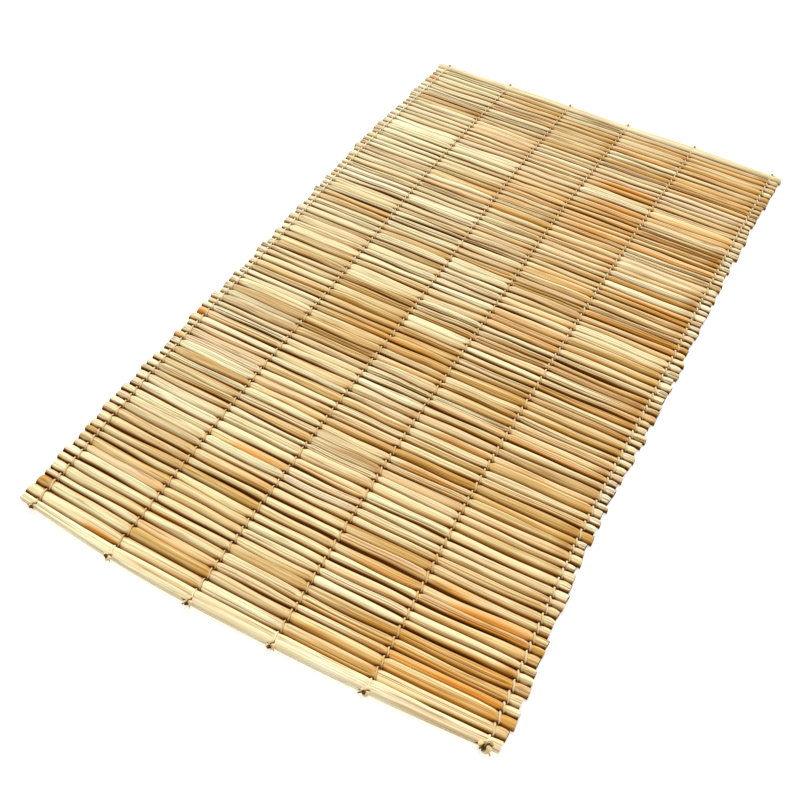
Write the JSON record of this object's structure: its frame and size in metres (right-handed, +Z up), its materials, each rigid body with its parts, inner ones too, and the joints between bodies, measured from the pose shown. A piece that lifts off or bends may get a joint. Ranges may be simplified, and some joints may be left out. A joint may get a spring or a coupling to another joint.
{
  "type": "straw mat",
  "caption": "Flat rectangular mat of flattened reeds laid side by side and tied with rows of twine, with a wide reed along each short side.",
  "frame": {"origin": "middle of the mat's underside, on the surface that it lies on", "axes": "+X along the reeds, across the mat; +Y along the mat's length, away from the bowed short side; +Z up from the surface"},
  "size_m": [0.9166, 1.6278, 0.0136],
  "materials": {
    "straw": "dry reed stem, pale straw to tan with orange stains, soft sheen",
    "pale_straw": "dry reed stem, pale cream straw, soft sheen",
    "twine": "matt two-ply plant fibre twine"
  },
  "bodies": {
    "root": {"reed_panel": "straw", "near_border_reed": "pale_straw", "far_border_reed": "pale_straw", "twine_row_1": "twine", "twine_row_2": "twine", "twine_row_3": "twine", "twine_row_4": "twine", "twine_row_5": "twine", "twine_row_6": "twine"}
  },
  "joints": []
}
